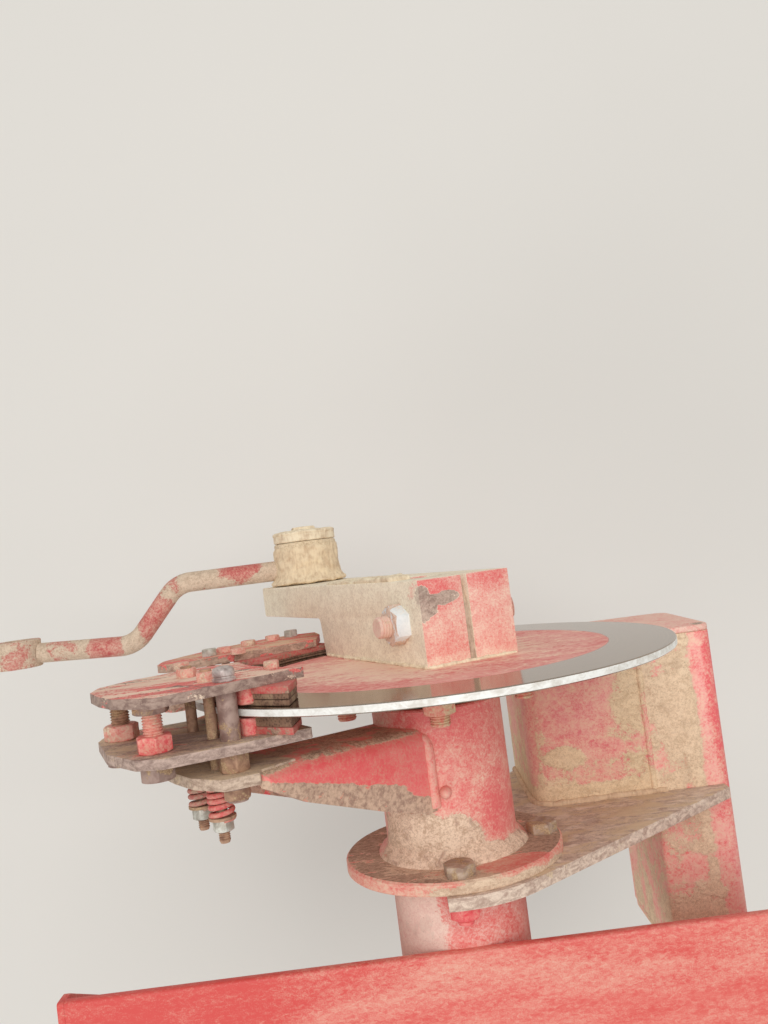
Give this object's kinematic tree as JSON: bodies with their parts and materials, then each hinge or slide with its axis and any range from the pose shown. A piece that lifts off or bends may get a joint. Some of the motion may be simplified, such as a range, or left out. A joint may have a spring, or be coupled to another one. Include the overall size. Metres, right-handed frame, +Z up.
{
  "type": "crank and disc-brake unit of a baler's knotter shaft",
  "caption": "Split-clamp crank arm with pull rod on a disc-braked shaft in a flanged bearing tube; spring-loaded caliper plates ride on a pressed arm, all on a channel beam.",
  "frame": {"origin": "centre of the outer face of the plate that closes the cross beam's right end, where the beam is fixed to the machine's side frame", "axes": "+X along the beam and out of its right end, +Y along the shaft and out through the brake disc to the crank, +Z up"},
  "size_m": [0.7857, 0.4984, 0.5035],
  "materials": {
    "paint": "old red paint, faded pink and dusty",
    "worn_plate": "worn paint over brown rust",
    "steel": "dull steel with a little rust",
    "disc_steel": "rubbed bright by the linings, dull inside",
    "zinc": "zinc-plated, weathered",
    "lining": "pressed friction material"
  },
  "bodies": {
    "carrier": {"cross_beam": "paint", "beam_caps": "paint", "side_post": "paint", "post_cap": "paint", "post_foot": "paint", "bent_bracket": "paint", "carrier_plate": "worn_plate", "lower_sleeve": "paint", "bearing_tube": "paint", "bearing_flange": "paint", "flange_bolts": "zinc", "front_bearing": "steel", "rear_bearing": "steel", "brake_arm": "paint", "yoke_plate": "worn_plate", "grease_plug": "paint", "upper_lever": "worn_plate", "lower_lever": "worn_plate", "upper_shoe": "worn_plate", "lower_shoe": "worn_plate", "brake_pin": "steel", "tie_rods": "steel", "brake_springs": "paint", "adjusters": "paint", "shoe_bolts": "steel", "pad_backings": "paint", "pad_linings": "lining"},
    "crank": {"shaft": "steel", "hub_flange": "worn_plate", "brake_disc": "disc_steel", "disc_studs": "paint", "crank_arm": "paint", "clamp_bolt": "zinc", "crank_pin": "steel"},
    "rod": {"rod_eye": "paint", "pull_rod": "paint", "far_eye": "paint"}
  },
  "joints": [
    {"name": "crank_turn", "type": "hinge", "parent": "carrier", "child": "crank", "pos_m": [-0.312, 0.269, 0.02], "axis": [0, 1, 0], "continuous": true},
    {"name": "rod_swing", "type": "hinge", "parent": "crank", "child": "rod", "pos_m": [-0.42674, 0.269, -0.22666], "axis": [0, 1, 0], "range_deg": [-35, 35]}
  ]
}
